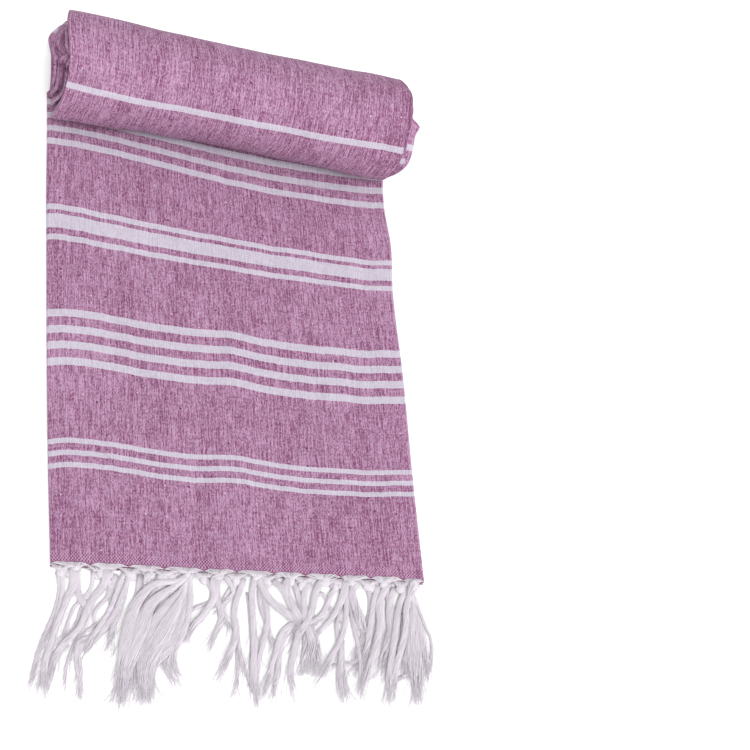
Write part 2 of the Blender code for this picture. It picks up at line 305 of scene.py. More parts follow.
def rollRows():
    # degrees round the roll of each row. The wound length is that of a spiral: middle radius times
    # angle, less pitch times angle squared over 4 pi
    package = 4 * cloth["pitchInRoll"]
    middle = cloth["coreRadius"] + package / 2
    wound = cloth["flat"][1] - cloth["flapLength"]
    loss = package / (4 * math.pi)
    last = math.degrees((middle - math.sqrt(middle**2 - 4 * loss * wound)) / (2 * loss))
    step, fine, near = cloth["outerStep"], cloth["hollowStep"], cloth["hollowReach"]
    degrees = np.arange(step, 360 + step / 2, step)
    for turn in cloth["shownTurns"]:
        shown = np.arange(*cloth["shownPart"], cloth["shownStep"])
        degrees = np.append(degrees, 360 * turn + shown)
    for hollow in coilHollows:
        degrees = np.append(degrees, hollow[1] + np.arange(-near, near + fine / 2, fine))
    degrees = np.append(degrees, np.arange(360 + cloth["hiddenStep"], last, cloth["hiddenStep"]))
    degrees = np.unique(np.append(degrees, last))
    degrees = degrees[np.append(True, np.diff(degrees) > cloth["leastStep"])]
    angle = np.radians(degrees)
    return degrees, cloth["flapLength"] + middle * angle - loss * angle**2


def bowAt(across, along):
    # the bow by the fringe turns into that at the middle, and then that by the roll
    low, mid, high = (smoothCurve(weftBow, across * 1000, c) / 1000 for c in (1, 2, 3))
    toMid, toHigh = fade(along, "bowToMiddle"), fade(along, "bowToRoll")
    return low * (1 - toMid) + mid * toMid * (1 - toHigh) + high * toHigh


def layerSlip(across, layer):
    # how far a layer's fringe edge reaches past the top layer's: its own reach plus a slow sine
    reach = np.interp(layer, (0, 1, 2, 3), cloth["edgeReach"])
    size, pace = cloth["edgeWaver"]
    return reach + size * np.sin(pace * across + 2 * layer) * (1 - layer / 3)


def edgeTongue(across, layer):
    # how far the top layer's edge dips where two of its bunches part: a bell at each such place
    halfWidth, length = cloth["edgeDip"]
    dips = np.exp(-(((across[..., None] - bunchParts) / halfWidth) ** 2)).sum(axis=-1)
    return length * dips * (layer / 3) ** 8


def flapLift(across, along, layer):
    # how far the creases and soft waves lift a layer of the flap: none at the table, all at the top
    lift = creaseHeight(flapCreases, across, along) + softWaves(across, along, cloth["flapWaves"])
    before = fade(cloth["flapLength"] - along, "flapLift")
    return (lift + cloth["flapLoft"]) * before * layer / 3


def flapPoint(across, along, height, layers):
    # y = distance along, less place across times the lean of the weft, plus its bow, and by the
    # fringe less the layer's slip and a small dip where two bunches part
    lean = np.interp(along * 1000, weftLean[:, 0], weftLean[:, 1])
    settle = (1 - fade(along, "bowOut")) * fade(along, "bowIn")
    y = along - across * lean + settle * bowAt(across, along)
    y = y - layerSlip(across, layers) * (1 - fade(along, "edgeReachOut"))
    y = y - edgeTongue(across, layers) * (1 - fade(along, "edgeDipOut"))
    return np.stack([across, y, height], axis=-1)


def rollPoint(reach, radius, degrees):
    # a cylinder turned about Z: the place is on the axis at reach, then out by the radius
    turn = math.radians(cloth["rollTurn"])
    angle = np.radians(degrees - 90)
    out, up = radius * np.cos(angle), radius * np.sin(angle)
    axisHeight = cloth["coreRadius"] + 4 * cloth["pitchInRoll"]
    x = reach * math.cos(turn) + out * math.sin(turn)
    y = cloth["flapLength"] - reach * math.sin(turn) + out * math.cos(turn)
    return np.stack([x, y, axisHeight + up], axis=-1)


def rollRadius(reach, turned, layers, leftFold):
    # spiral radius less the layer's depth. The creases lift the outer layers, and the coils sink
    # past the left edge of the outmost one
    pitch = cloth["pitchInRoll"]
    spiral = cloth["coreRadius"] + 4 * pitch * (1 - turned / 360)
    rise = creaseHeight(rollCreases, reach, turned) + softWaves(reach, turned, cloth["rollWaves"])
    rise *= fade(turned, "creasesIn") * (1 - fade(turned, "creasesOut")) * (1 - layers / 4)
    coils = sum(fade(turned - 360 * turn, "coils") for turn in cloth["shownTurns"])
    sink = cloth["coilSink"] * coils * fade(-reach, "coilSink")
    for place, middle, halfWidth, halfReach, depth in coilHollows:
        # all the turns within give way with the one that has the hollow
        aside = (turned - middle + 180) % 360 - 180
        bell = np.exp(-(((reach - place) / halfWidth) ** 2) - (aside / halfReach) ** 2)
        sink += depth * bell * (turned > middle - 180)
    lips = 0
    for place, halfWidth, height in cloth["coilLips"]:
        lips = lips + height * np.exp(-(((reach - leftFold - place) / halfWidth) ** 2))
    sink -= lips * fade(turned, "coilLips")
    # the hidden layers lie a little deeper, so that none shows through a trough
    depth = (layers + 0.5) * pitch + cloth["hiddenDepth"] * np.minimum(layers, 1)
    radius = spiral - depth + rise
    return np.maximum(radius - sink, cloth["leastRadius"] * radius)


def columnPlaces(table, at, pitch, shares):
    # place across of each column: its shares times the folds, the hems and the pitch
    edges = [smoothCurve(table, at, column) / 1000 for column in (3, 1, 2, 4)]
    return np.stack([*edges, pitch], axis=1) @ shares.T, edges[1][:, None]


def clothSurface():
    shares, layers, slips = foldColumns()
    flapLength, pitchInRoll = cloth["flapLength"], cloth["pitchInRoll"]
    # flap: height = (layer + a half) times the pitch, and the creases lift the upper layers
    edgeRows = np.array(cloth["edgeRows"])
    s = np.concatenate([edgeRows, np.linspace(edgeRows[-1], flapLength, cloth["flapRows"])[1:]])
    loose = 1 - easeIn(s, flapLength - cloth["easeLength"], flapLength)
    pitch = pitchInRoll + (cloth["pitchOnFlap"] - pitchInRoll) * loose
    across, _ = columnPlaces(flapEdges, s * 1000, pitch, shares)
    along = s[:, None]
    height = (layers + 0.5) * pitch[:, None] + flapLift(across, along, layers)
    flap = flapPoint(across, along, height, layers)
    degrees, sRoll = rollRows()
    turned = degrees[:, None]
    pitch = np.full(len(degrees), pitchInRoll)
    reach, leftFold = columnPlaces(rollEdges, degrees, pitch, shares)
    roll = rollPoint(reach, rollRadius(reach, turned, layers, leftFold), turned)
    # across the flat cloth: the section's own length from the lower hem, of the full width
    row = cloth["flapRows"] // 2
    section = np.stack([across[row], height[row]], axis=1)
    walked = np.concatenate([[0], np.cumsum(np.linalg.norm(np.diff(section, axis=0), axis=1))])
    places = np.concatenate([s, sRoll])[:, None]
    acrossFlat = walked / walked[-1] * cloth["flat"][0] + 0 * places
    alongFlat = places - slips * easeIn(places, *np.add(fades["backSlip"], flapLength))
    alongFlat[len(s):] -= smoothCurve(rollSag, reach * 1000, 1) / 1000 * fade(turned, "sag")
    return np.concatenate([flap, roll]), np.stack([acrossFlat, alongFlat], axis=-1)


def gridMesh(name, points, uv, material):
    # quads between neighbouring points of a grid of rows and columns
    rows, columns = points.shape[:2]
    index = np.arange(rows * columns).reshape(rows, columns)
    quads = np.stack([index[:-1, :-1], index[:-1, 1:], index[1:, 1:], index[1:, :-1]], axis=-1)
    return buildMesh(name, points.reshape(-1, 3), quads.reshape(-1, 4), uv.reshape(-1, 2), material)


def buildMesh(name, points, quads, uv, material):
    mesh = bpy.data.meshes.new(name)
    count = len(quads)
    placed = points - np.array([*cloth["middle"], 0])
    mesh.vertices.add(len(points))
    mesh.vertices.foreach_set("co", placed.astype(np.float32).ravel())
    mesh.loops.add(4 * count)
    mesh.loops.foreach_set("vertex_index", quads.astype(np.int32).ravel())
    mesh.polygons.add(count)
    mesh.polygons.foreach_set("loop_start", np.arange(0, 4 * count, 4, dtype=np.int32))
    layer = mesh.uv_layers.new(name="UVMap")
    layer.data.foreach_set("uv", uv[quads.ravel()].astype(np.float32).ravel())
    mesh.update(calc_edges=True)
    mesh.shade_smooth()
    mesh.materials.append(material)
    return addObject(name, mesh)


def linear(code):
    # sRGB hex to linear light
    parts = np.array([int(code[n : n + 2], 16) for n in (1, 3, 5)]) / 255
    light = np.where(parts <= 0.04045, parts / 12.92, ((parts + 0.055) / 1.055) ** 2.4)
    return (*light.tolist(), 1.0)


def addNode(tree, kind, values, *inputs, output=0):
    # a value goes to the property or input of its name, and those after it to the first inputs in
    # turn: a socket is linked, a text is a colour
    node = tree.nodes.new("ShaderNode" + kind)
    for name, value in (*values.items(), *enumerate(inputs)):
        if isinstance(name, str) and hasattr(node, name):
            setattr(node, name, value)
        elif isinstance(value, bpy.types.NodeSocket):
            tree.links.new(value, node.inputs[name])
        else:
            node.inputs[name].default_value = linear(value) if isinstance(value, str) else value
    return node.outputs[output]


def newMaterial(name):
    material = bpy.data.materials.new(name)
    material.use_nodes = True
    material.node_tree.nodes.clear()
    return material, material.node_tree


def addSurface(tree, values):
    output = tree.nodes.new("ShaderNodeOutputMaterial")
    tree.links.new(addNode(tree, "BsdfPrincipled", values), output.inputs[0])


weave = {
    # purple weft over a pale warp: the ground of the cloth
    "groundDark": "#71405f",
    "groundPink": "#b484a4",
    "groundBlue": "#a78fa8",
    # white weft over the same warp: the stripes
    "stripeDark": "#aaa2af",
    "stripeLight": "#beb6c3",
    "edgeDark": "#6c2a58",  # the last picks, pushed together at the fringe
    "edgeWidth": 0.0009,
    # the three lengthwise folds, painted paler: a painted highlight on their rounded edges, and partly
    # the pressed weave there. Places across the flat cloth, half width
    "folds": (0.2510, 0.5030, 0.7530),
    "foldHighlightWidth": 0.0011,
    "foldHighlightLevel": 0.45,
    # the side edges, where the weft turns back, are painted darker: painted shadow under each layer's
    # edge, and partly the denser weave there
    "sideShadeWidth": 0.0007,
    "sideShadeLevel": -0.32,
    # the holes' gaps across and along, how dark they are, and where they end
    "holes": (0.0021, 0.0026),
    "holeLevel": 1.2,
    "holeEnd": (0.004, 0.009),
    # warp and weft are about 0.5 mm apart, too fine for the picture, so that the ticks of the warp
    # are drawn as coarse as needed: size across, size along, weight
    "ticks": (0.00056, 0.0014, 0.80),
    # grains: size across, size along, detail, shift, and here the weight. They are short and long
    # streaks of single warp threads, bands of them, broad clouds, and thick picks
    "grains": (
        (0.00072, 0.013, 0.0, 7.7, 1.0),
        (0.0011, 0.050, 1.0, 17.3, 0.70),
        (0.0040, 0.12, 1.0, 3.9, 0.22),
        (0.018, 0.12, 1.0, 1.3, 0.35),
        (0.022, 0.0012, 0.0, 9.9, 0.30),
    ),
    "pinkness": (0.0016, 0.006, 1.0, 14.1),
    # nubs of dark weft and flecks of pale warp: a grain, how high it has to be, colour
    "specks": (
        ((0.0036, 0.0030, 0.0, 21.7), 0.915, "#4a1c3e"),
        ((0.0024, 0.0030, 0.0, 33.1), 0.945, "#cbb8c9"),
    ),
    # how the stripes' edges waver: a grain, and how far
    "waver": (0.006, 0.05, 1.0, 3.1),
    "waverSize": 0.0007,
    "relief": (0.4, 0.8),  # of the ticks, and of the first grain
    "bump": {"Strength": 0.38, "Distance": 0.0006},
    # width of the stripes, and distances of their middles from the nearer end
    "stripes": (
        (0.0040, (0.0705, 0.0799, 0.0893)),
        (0.0064, (0.1529, 0.1666, 0.1800, 0.1938)),
        (0.0048, (0.2565, 0.2819, 0.5431)),
        (0.0118, (0.2701,)),
        (0.0058, (0.3396, 0.3530, 0.3665, 0.3800)),
        (0.0045, (0.4420, 0.4510, 0.4600)),
    ),
    "surface": {
        "Roughness": 0.92, "IOR": 1.5, "Specular IOR Level": 0.15,
        "Sheen Weight": 0.10, "Sheen Roughness": 0.5, "Sheen Tint": "#e6cfe0",
    },
}


def wovenCotton():
    # plain-weave cotton, yarn-dyed: matt, faintly fuzzy, pale warp ticks between the coloured picks
    material, tree = newMaterial("Plain-weave cotton")
    parts = tree.nodes.new("ShaderNodeSeparateXYZ")
    tree.links.new(addNode(tree, "UVMap", {"uv_map": "UVMap"}), parts.inputs[0])
    u, v = parts.outputs[0], parts.outputs[1]
    add, subtract, multiply, multiplyAdd = (
        {"operation": name} for name in ("ADD", "SUBTRACT", "MULTIPLY", "MULTIPLY_ADD")
    )
    least, below, above, within = (
        {"operation": name} for name in ("MINIMUM", "LESS_THAN", "GREATER_THAN", "COMPARE")
    )
    floor, sine, mix = {"operation": "FLOOR"}, {"operation": "SINE"}, {"data_type": "RGBA"}

    def grain(acrossSize, alongSize, detail, shift):
        # noise whose cells are the two sizes in metres, 0 to 1 about a half
        x = addNode(tree, "Math", multiplyAdd, u, 1 / acrossSize, shift)
        y = addNode(tree, "Math", multiplyAdd, v, 1 / alongSize, shift * 1.7)
        at = addNode(tree, "CombineXYZ", {}, x, y)
        noise = {"noise_dimensions": "2D", "Scale": 1.0, "Detail": detail, "Vector": at}
        return addNode(tree, "TexNoise", noise)

    def cells(acrossSize, alongSize):
        # an even chance value for every float of a warp thread, each thread starting at its place
        column = addNode(tree, "Math", floor, addNode(tree, "Math", multiply, u, 1 / acrossSize))
        start = addNode(tree, "TexWhiteNoise", {"noise_dimensions": "1D", "W": column})
        along = addNode(tree, "Math", multiply, v, 1 / alongSize)
        row = addNode(tree, "Math", floor, addNode(tree, "Math", add, along, start))
        at = addNode(tree, "CombineXYZ", {}, column, row)
        return addNode(tree, "TexWhiteNoise", {"noise_dimensions": "2D", "Vector": at})

    # stripes: 1 where the distance from the nearer end is within half a width of a stripe
    width, length = cloth["flat"]
    fromEnd = addNode(tree, "Math", least, v, addNode(tree, "Math", subtract, length, v))
    size = weave["waverSize"]
    centred = addNode(tree, "Math", subtract, fromEnd, size / 2)
    uneven = addNode(tree, "Math", multiplyAdd, grain(*weave["waver"]), size, centred)
    white = 0.0
    for stripeWidth, middles in weave["stripes"]:
        for middle in middles:
            inside = addNode(tree, "Math", within, uneven, middle, stripeWidth / 2)
            white = addNode(tree, "Math", add, white, inside)

    # level of tone: a half, plus each noise about its middle times its weight
    noises = [cells(*weave["ticks"][:2])] + [grain(*row[:4]) for row in weave["grains"]]
    weights = [row[-1] for row in (weave["ticks"], *weave["grains"])]
    changes = [
        addNode(tree, "Math", multiplyAdd, noise, weight, -weight / 2)
        for noise, weight in zip(noises, weights)
    ]
    # the last 5 mm are beaten up loosely: rows of small holes, dark against the picks
    columns, picks = (
        addNode(tree, "Math", sine, addNode(tree, "Math", multiply, place, 2 * math.pi / gap))
        for place, gap in zip((u, v), weave["holes"])
    )
    near, far = weave["holeEnd"]
    ramp = {"From Min": near, "From Max": far, "To Min": 1.0, "To Max": 0.0, "Value": fromEnd}
    holes = addNode(tree, "Math", multiply, columns, picks)
    holes = addNode(tree, "Math", multiply, holes, addNode(tree, "MapRange", ramp))
    changes.append(addNode(tree, "Math", multiply, holes, weave["holeLevel"]))
    # painted highlight along each fold, partly the pressed weave: the tone is raised within the half
    # width of the fold
    for place in weave["folds"]:
        onFoldHighlight = addNode(tree, "Math", within, u, place, weave["foldHighlightWidth"])
        changes.append(addNode(tree, "Math", multiply, onFoldHighlight, weave["foldHighlightLevel"]))
    # painted shadow along the side edges, partly the denser weave: the tone is lowered within the
    # given width of them
    fromSide = addNode(tree, "Math", least, u, addNode(tree, "Math", subtract, width, u))
    onSideShade = addNode(tree, "Math", below, fromSide, weave["sideShadeWidth"])
    changes.append(addNode(tree, "Math", multiply, onSideShade, weave["sideShadeLevel"]))
    level = 0.5
    for change in changes:
        level = addNode(tree, "Math", add, level, change)
    tone = addNode(tree, "Clamp", {}, level)
    # the warp is a little pinker in some places and bluer in others
    pale = {**mix, 0: grain(*weave["pinkness"]), 6: weave["groundPink"], 7: weave["groundBlue"]}
    pale = addNode(tree, "Mix", pale, output=2)
    ground = addNode(tree, "Mix", {**mix, 0: tone, 6: weave["groundDark"], 7: pale}, output=2)
    spots = [
        (addNode(tree, "Math", above, grain(*sizes), high), code)
        for sizes, high, code in weave["specks"]
    ]
    spots.append((addNode(tree, "Math", below, fromEnd, weave["edgeWidth"]), weave["edgeDark"]))
    for share, code in spots:
        ground = addNode(tree, "Mix", {**mix, 0: share, 6: ground, 7: code}, output=2)
    stripe = {**mix, 0: tone, 6: weave["stripeDark"], 7: weave["stripeLight"]}
    stripe = addNode(tree, "Mix", stripe, output=2)
    colour = addNode(tree, "Mix", {**mix, 0: white, 6: ground, 7: stripe}, output=2)
    reliefs = (
        addNode(tree, "Math", multiply, noise, share) for noise, share in zip(noises, weave["relief"])
    )
    bump = {**weave["bump"], "Height": addNode(tree, "Math", add, *reliefs)}
    bump = addNode(tree, "Bump", bump)
    addSurface(tree, {**weave["surface"], "Base Color": colour, "Normal": bump})
    return material


towel = gridMesh("towelCloth", *clothSurface(), wovenCotton())
print("cloth: done,", len(towel.data.polygons) * 2, "triangles")

fringe = {
    "threadGap": 0.00062,  # between warp threads at the cloth's edge
    "threadRadius": 0.00033,
    "headDrop": 0.0042,  # from the cloth's edge to where a bunch's threads meet
    "neckWidth": 0.0060,
    "knot": (0.0068, 0.0070, 0.0034),  # width, length, thickness
    "knotRange": (0.72, 1.22),  # times these
    "knotHeights": (0.0018, 0.0026, 0.0034, 0.0042),
    "hiddenBunches": (-0.126, 0.124),  # where those of the hidden layers begin and end
    "thickness": 0.46,  # of the width
    "thickLimits": (0.0012, 0.0027),
    "fullness": 0.90,  # of the widths in the list of tufts
    "fallLength": 0.018,  # from the knot down to the table
    "tipLength": 0.006,
    "coreShare": 0.86,  # of the tuft's section
    "yarnRadius": 0.00037,
    "turnsPerMetre": 42.0,  # the loose twist
    "combedWidth": 0.0021,  # tufts over this half width are combed out and turn less
    "parting": (0.62, 1.0),  # shares of the length where the yarns part and thin
    "wander": (0.00014, 0.0007),  # of a yarn, and how much more once parted
    "splay": (0.0009, 0.20),  # of parted yarns: metres, and share of the half width
    "hairRadius": 0.00012,
    "hairsPerMm": 5.5,
    "hairLengths": (0.015, 0.06),
    "strayShare": 0.21,  # of a loose fibre's length
    "strayLimit": 1.8,  # standard deviations
}
# sides of a yarn, thread or fibre, sides of a core or knot, and gap over the table
yarnSides, coreSides, clearance = 4, 12, 0.0001
yarn = {
    "light": "#d5d0d6",
    "shade": "#bbb2bc",
    "toneScale": (60.0, 160.0, 1.0),  # for each yarn, and along it
    "surface": {
        "Roughness": 0.85, "IOR": 1.5, "Specular IOR Level": 0.2, "Sheen Weight": 0.15,
    },
}
# one row a tuft (mm): layer, how far it rides over others, width at its root, middle and end, how
# unevenly it ends, and then x, y, x, y and so on from its root to its tips
tufts = (
    # the left corner and the first three bunches
    (1, 0, 4, 4, 5, 16, -121, 15, -120, 0, -123, -18, -131, -39, -138, -61, -141, -78),
    (2, 1, 4, 4, 6, 14, -118, 14, -118, 0, -124, -33, -130, -58, -136, -80),
    (3, 2, 7, 4, 7, 16, -111, 13, -110, 3, -117, -17, -125, -40, -131, -63, -131, -82),
    (3, 1.5, 6, 4, 6, 14, -108, 13, -107, -9, -102, -21, -105, -31, -119, -46, -130, -78),
    (2, 0.5, 3, 3, 3, 8, -97, 13, -98, -2, -111, -19, -115, -30, -120, -47),
    (3, 2, 7, 5, 4, 10, -87, 11, -89, -1, -101, -19, -105, -31, -118, -47, -129, -63),
    (3, 1.5, 3, 3, 2, 8, -86, 1, -87, -10, -97, -25, -96, -35),
    (1, 0, 3, 3, 2, 8, -94, -9, -105, -17, -109, -29, -118, -44),
    (2, 2.5, 4, 4, 4, 12, -76, 11, -78, 0, -87, -24, -97, -40, -106, -55),
    (1, 2, 4, 5, 4, 12, -71, 11, -74, -2, -83, -25, -94, -41, -104, -52),
    (1, 1, 4, 5, 4, 8, -73, 8, -76, -10, -84, -33, -88, -49),
    (0, 1, 3, 3, 3, 12, -85, -33, -95, -40, -108, -44, -110, -54, -107, -82),
    (0, 0, 2, 2, 3, 14, -96, -31, -110, -43, -115, -55, -118, -79),
    (0, 0, 2, 3, 5, 18, -99, -39, -107, -46, -107, -65, -108, -85),
    (0, 0, 5, 3, 3, 8, -82, 11, -85, -4, -87, -27, -91, -36),
    (3, 2.5, 6, 5, 4, 4, -60, 9, -60, 2, -61, -4),
    # the broad combed-out mass from the fourth bunch
    (3, 4, 5, 11, 11, 20, -32, 4, -38, -4, -56, -7, -67, -18, -74, -40, -79, -70, -84, -95),
    (3, 4, 5, 14, 9, 16, -31, 2, -44, -10, -58, -21, -67, -43, -75, -66, -80, -92),
    (3, 3, 5, 14, 8, 16, -30, 3, -38, -12, -53, -31, -63, -53, -66, -74, -66, -93),
    (2, 4, 5, 14, 7, 16, -33, 0, -38, -18, -53, -48, -62, -70, -63, -90),
    (2, 2.5, 5, 12, 6, 14, -32, -3, -36, -21, -45, -50, -59, -67, -61, -92),
    (3, 3.5, 5, 5, 5, 16, -32, 1, -32, -20, -38, -45, -45, -62, -42, -79),
    (1, 2, 4, 7, 5, 18, -34, -11, -41, -35, -48, -58, -50, -67, -44, -81),
    (0, 1, 5, 8, 8, 16, -65, 9, -67, -8, -75, -45, -79, -70, -82, -90),
    (1, 1.5, 5, 9, 8, 16, -52, 8, -56, -8, -68, -37, -74, -67, -75, -86),
    (0, 1, 5, 9, 6, 16, -44, 6, -47, -10, -60, -44, -67, -70, -68, -90),
    (0, 0.5, 3, 5, 4, 14, -46, -48, -55, -63, -62, -73),
    # the fifth and sixth bunches, short and crossing
    (2, 1, 4, 4, 3, 8, -21, 4, -17, -16, -22, -28, -38, -47),
    (3, 2, 7, 5, 5, 10, -10, 4, -14, -4, -16, -19, -24, -31, -36, -44),
    (1, 0.5, 3, 3, 2, 8, -17, -20, -25, -23, -32, -27),
    (2, 1.5, 5, 5, 5, 16, -13, -1, -14, -18, -12, -36, -17, -47, -22, -58),
    (3, 2, 4, 3, 3, 10, -8, 1, -3, -16, -11, -26, -7, -42),
    (1, 0.5, 3, 3, 2, 8, 1, 0, -5, -13, -13, -27),
    (2, 2.5, 5, 5, 6, 16, 4, 4, 3, -10, -3, -30, -3, -50, -9, -65, -16, -78),
    (1, 1, 3, 3, 3, 18, -2, -35, -1, -60, 4, -88),
    (0, 0, 2, 3, 4, 22, -3, -52, -3, -70, -5, -89),
    # the long straight ones of the seventh
    (3, 2.5, 5, 5, 6, 12, 13, 2, 10, -14, 9, -30, 9, -54, 7, -80, 8, -101),
    (0, 1, 2, 2, 2, 4, 6, -16, 7, -43, 7, -70),
    (2, 2, 5, 4, 5, 12, 22, 2, 19, -14, 19, -38, 12, -66, 8, -86, 9, -99),
    (1, 0.5, 5, 5, 3, 8, 17, 2, 15, -18, 18, -40, 21, -57),
    # six that run together at one point, and the sprays below it
    (3, 3, 5, 6, 7, 8, 14, 0, 17, -16, 27, -31, 44, -44),
    (2, 3, 5, 5, 6, 8, 24, 1, 28, -14, 42, -42),
    (3, 3.5, 7, 5, 6, 10, 36, -1, 33, -14, 35, -29, 44, -43),
    (1, 2, 4, 4, 5, 8, 38, -4, 40, -20, 45, -45),
    (2, 2.5, 5, 5, 5, 10, 49, 0, 48, -14, 44, -38, 47, -60, 47, -72),
    (3, 3, 6, 5, 5, 12, 58, -3, 55, -16, 48, -37, 39, -53, 36, -61),
    (1, 2, 4, 4, 4, 14, 67, -4, 63, -22, 54, -39, 40, -46, 33, -52),
    (0, 1, 3, 3, 3, 10, 51, -24, 56, -21, 61, -32, 66, -41),
    (1, 2, 6, 5, 5, 14, 42, -39, 37, -57, 32, -78, 32, -96),
    (1, 1.5, 5, 4, 5, 18, 38, -40, 30, -46, 22, -66, 13, -93),
    (0, 1, 4, 4, 5, 18, 36, -41, 28, -55, 23, -78, 17, -100),
    (2, 2, 5, 6, 7, 20, 44, -40, 47, -56, 45, -76),
    (1, 1.5, 5, 6, 7, 20, 46, -42, 50, -58, 50, -77),
    (0, 1, 4, 5, 6, 20, 43, -43, 43, -60, 40, -76),
    # the ninth and tenth bunches
    (3, 2.5, 6, 4, 4, 12, 73, -3, 72, -20, 64, -38, 47, -56),
    (2, 3, 4, 4, 6, 16, 74, -6, 73, -26, 69, -52, 60, -70, 48, -89),
    (1, 1.5, 3, 4, 6, 14, 70, -29, 65, -44, 66, -68, 63, -91, 63, -102),
    (0, 0.5, 3, 3, 4, 16, 68, -57, 67, -78, 68, -99),
    (2, 1.5, 3, 3, 4, 12, 75, -12, 75, -38, 78, -66, 78, -83, 76, -98),
    (3, 2, 6, 7, 6, 18, 81, -5, 78, -20, 80, -40, 85, -60),
    (0, 0.5, 5, 5, 5, 16, 87, -5, 89, -27, 85, -49, 77, -67, 74, -82),
    (0, 0.5, 3, 3, 3, 10, 82, -68, 74, -74, 64, -74),
    (2, 2.5, 5, 5, 4, 14, 95, -4, 93, -24, 87, -50, 82, -70, 77, -81),
    (3, 3, 6, 5, 5, 16, 102, -6, 96, -28, 93, -52, 87, -72, 77, -97),
    # the eleventh and the right corner
    (1, 1.5, 5, 6, 6, 16, 105, -6, 101, -34, 100, -54, 94, -72, 91, -84),
    (0, 1, 5, 6, 6, 16, 100, -5, 101, -30, 104, -52, 97, -72, 93, -85),
    (2, 3, 5, 5, 6, 14, 114, -4, 109, -32, 102, -62, 96, -92, 94, -106),
    (3, 3.5, 5, 5, 6, 14, 121, -9, 114, -32, 110, -56, 102, -81, 96, -104),
    (3, 2.5, 6, 5, 3, 8, 122, -10, 120, -20, 115, -29),
    (1, 1, 3, 2, 3, 8, 117, -25, 123, -48, 127, -64, 122, -90),
    (2, 2, 3, 5, 5, 14, 116, -25, 119, -50, 122, -77, 122, -89),
    (3, 2.5, 5, 9, 7, 16, 116, -28, 115, -56, 116, -85, 115, -107),
    (1, 1.5, 5, 8, 6, 16, 115, -31, 111, -60, 113, -84, 113, -104),
    (0, 1, 4, 8, 5, 14, 110, -40, 109, -64, 108, -85),
    (0, 0.5, 3, 3, 3, 10, 113, -82, 107, -87, 102, -89),
)


def edgeLine(across, layer):
    # y of the cloth's fringe edge in one layer: the lower layers reach a little further out
    return -across * weftLean[0, 1] - layerSlip(across, layer)


def tubeMesh(name, groups, material):
    # a group is (paths, half widths, half thicknesses, tone, sides): an oval ring stands across each
    # path at each of its stations, and quads join the rings and close the ends
    allPoints, allQuads, allUv, base = [], [], [], 0
    for paths, wide, thick, tone, sides in groups:
        count, stations = paths.shape[:2]
        turn = np.radians(-90 + 360 * (np.arange(sides) + 0.5) / sides)
        along = np.gradient(paths, axis=1)
        along /= np.maximum(np.linalg.norm(along, axis=2, keepdims=True), 1e-9)
        side = np.cross(along, [0.0, 0.0, 1.0])
        side /= np.maximum(np.linalg.norm(side, axis=2, keepdims=True), 1e-9)
        rise = np.cross(side, along)
        ring = (side * wide[:, :, None])[:, :, None] * np.cos(turn)[:, None]
        ring = ring + (rise * thick[:, :, None])[:, :, None] * np.sin(turn)[:, None]
        points = paths[:, :, None] + ring
        index = base + np.arange(count * stations * sides).reshape(count, stations, sides)
        onward = np.roll(index, -1, axis=2)
        walls = np.stack([index[:, :-1], index[:, 1:], onward[:, 1:], onward[:, :-1]], axis=-1)
        steps = np.linalg.norm(np.diff(paths, axis=1, prepend=paths[:, :1]), axis=2)
        lengths = np.cumsum(steps, axis=1)[:, :, None] + np.zeros(sides)
        # the tone of a core or knot changes a little round it
        toneRound = np.abs(np.arange(sides) / sides - 0.5) * (0.2 if sides == coreSides else 0)
        uv = np.stack(np.broadcast_arrays(tone[:, None, None] + toneRound, lengths), axis=-1)
        allPoints.append(points.reshape(-1, 3))
        allQuads.append(walls.reshape(-1, 4))
        for k in range(0, sides - 2, 2):
            corners = [0, k + 1, k + 2, k + 3]
            allQuads += [index[:, 0][:, corners], index[:, -1][:, corners[::-1]]]
        allUv.append(uv.reshape(-1, 2))
        base += index.size
    quads = np.concatenate(allQuads)
    return buildMesh(name, np.concatenate(allPoints), quads, np.concatenate(allUv), material)


def tuftTable(tuft):
    # the tuft's way as rows of (distance walked, x, y); a root near the cloth's edge is at the knot
    near = 0.008
    way = np.array(tuft[6:]).reshape(-1, 2) / 1000
    edge = edgeLine(way[0, 0], tuft[0])
    if way[0, 1] > edge - near:
        way[0, 1] = edge - fringe["headDrop"]
    # the tips run on past the last place given
    last = way[-1] - way[-2]
    way = np.vstack([way, way[-1] + last / np.linalg.norm(last) * fringe["tipLength"]])
    walked = np.concatenate([[0], np.cumsum(np.linalg.norm(np.diff(way, axis=0), axis=1))])
    return np.column_stack([walked, way])


def tuftSection(tuft, table, at):
    # at distances along the tuft: its middle, the unit vector to its side, half width, half thickness
    layer, ride, root, middle, end = tuft[:5]
    total, step = table[-1, 0], 0.002
    x, y = (smoothCurve(table, at, c) for c in (1, 2))
    ahead = np.clip(at + step / 2, step, total)
    runX, runY = (smoothCurve(table, ahead, c) - smoothCurve(table, ahead - step, c) for c in (1, 2))
    run = np.maximum(np.hypot(runX, runY), 1e-9)
    q = at / total
    # shares of the length, and of the root, middle or end width there
    places, shares = (0, 0.12, 0.5, 0.85, 1), (1, 0.9, 1, 0.8, 0.75)
    widths = np.multiply((root, root, middle, end, end), shares)
    wide = np.interp(q, places, widths) / 2000 * fringe["fullness"]
    thick = np.clip(2 * wide * fringe["thickness"], *fringe["thickLimits"]) / 2
    # down from its layer to the table, with a hump where it rides over others
    drop = fringe["headDrop"]
    fallen = easeIn(edgeLine(x, layer) - y, drop, drop + fringe["fallLength"])
    height = fringe["knotHeights"][layer] * (1 - fallen) + thick * fallen
    height = height + ride / 1000 * easeIn(q, 0, 0.25) * (1 - easeIn(q, 0.6, 0.98))
    return np.stack([x, y, height], axis=-1), np.stack([-runY / run, runX / run], axis=-1), wide, thick


def stationCount(total):
    return 10 + round(total * 110)


